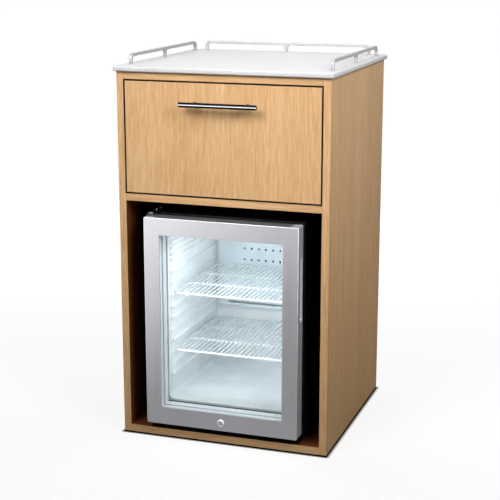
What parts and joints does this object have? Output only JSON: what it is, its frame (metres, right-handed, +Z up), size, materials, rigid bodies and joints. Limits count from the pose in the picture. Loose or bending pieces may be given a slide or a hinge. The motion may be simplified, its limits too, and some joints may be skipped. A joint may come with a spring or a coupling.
{
  "type": "hotel minibar cabinet",
  "caption": "Oak cabinet with an inset drawer over an open bay that holds a glass-door refrigerator, under a white worktop with low gallery rails.",
  "frame": {"origin": "centre of the footprint, on the floor", "axes": "+Z up, front with the drawer and the door towards -Y, +X to the right seen from the front"},
  "size_m": [0.536, 0.555, 0.9312],
  "materials": {
    "oak": "satin",
    "drawer_board": "satin",
    "rear_board": "matte",
    "white_worktop": "satin",
    "satin_steel": "satin",
    "zinc_steel": "satin",
    "dark_chrome": "polished",
    "black_case": "satin",
    "black_plastic": "matte",
    "grip_plastic": "satin",
    "black_rubber": "matte",
    "white_liner": "satin",
    "white_core": "satin",
    "white_wire": "gloss",
    "foam": "matte",
    "aluminium": "satin",
    "clear_glass": "polished",
    "lamp_lens": "gloss"
  },
  "bodies": {
    "cabinet": {"left_side_panel": "oak", "right_side_panel": "oak", "bottom_panel": "oak", "divider_shelf": "oak", "top_panel": "oak", "back_panel": "rear_board", "worktop": "white_worktop", "left_rail": "satin_steel", "right_rail": "satin_steel", "rear_rail": "satin_steel", "left_slide_outer": "zinc_steel", "right_slide_outer": "zinc_steel", "upper_hinge_pin": "zinc_steel", "lower_hinge_pin": "zinc_steel", "lock_keeper": "zinc_steel", "case_wrap": "black_case", "case_base": "black_case", "case_back": "black_case", "upper_hinge_plate": "black_case", "lower_hinge_plate": "black_case", "front_left_glide": "black_plastic", "front_right_glide": "black_plastic", "rear_left_glide": "black_plastic", "rear_right_glide": "black_plastic", "left_runner": "black_rubber", "right_runner": "black_rubber", "liner": "white_liner", "left_shelf_guide": "white_liner", "right_shelf_guide": "white_liner", "air_cover": "white_liner", "lower_shelf": "white_wire", "upper_shelf": "white_wire", "insulation": "foam", "cold_sink": "aluminium", "hot_sink": "aluminium", "interior_lamp": "lamp_lens"},
    "slide_middles": {"left_slide_middle": "zinc_steel", "right_slide_middle": "zinc_steel"},
    "drawer": {"drawer_front": "oak", "drawer_left_side": "drawer_board", "drawer_right_side": "drawer_board", "drawer_inner_front": "drawer_board", "drawer_back": "drawer_board", "drawer_bottom": "drawer_board", "handle_bar": "dark_chrome", "handle_left_post": "dark_chrome", "handle_right_post": "dark_chrome", "left_slide_inner": "zinc_steel", "right_slide_inner": "zinc_steel"},
    "fridge_door": {"door_frame": "satin_steel", "door_core": "white_core", "outer_pane": "clear_glass", "glazing_spacer": "aluminium", "inner_pane": "clear_glass", "door_seal": "black_rubber", "edge_grip": "grip_plastic", "lock_body": "zinc_steel"},
    "door_lock": {"lock_plug": "zinc_steel", "lock_cam": "zinc_steel"}
  },
  "joints": [
    {"name": "drawer_slide", "type": "slide", "parent": "cabinet", "child": "drawer", "axis": [0, -1, 0], "range_m": [0, 0.4]},
    {"name": "slide_middle_travel", "type": "slide", "parent": "cabinet", "child": "slide_middles", "axis": [0, -1, 0], "range_m": [0, 0.2]},
    {"name": "door_hinge", "type": "hinge", "parent": "cabinet", "child": "fridge_door", "pos_m": [-0.182, -0.2355, 0.3], "axis": [0, 0, -1], "range_deg": [0, 110]},
    {"name": "lock_turn", "type": "hinge", "parent": "fridge_door", "child": "door_lock", "pos_m": [0, -0.2605, 0.058], "axis": [0, 1, 0], "range_deg": [0, 90]}
  ],
  "couplings": [
    {"joint": "slide_middle_travel", "follows": "drawer_slide", "ratio": 0.5}
  ]
}
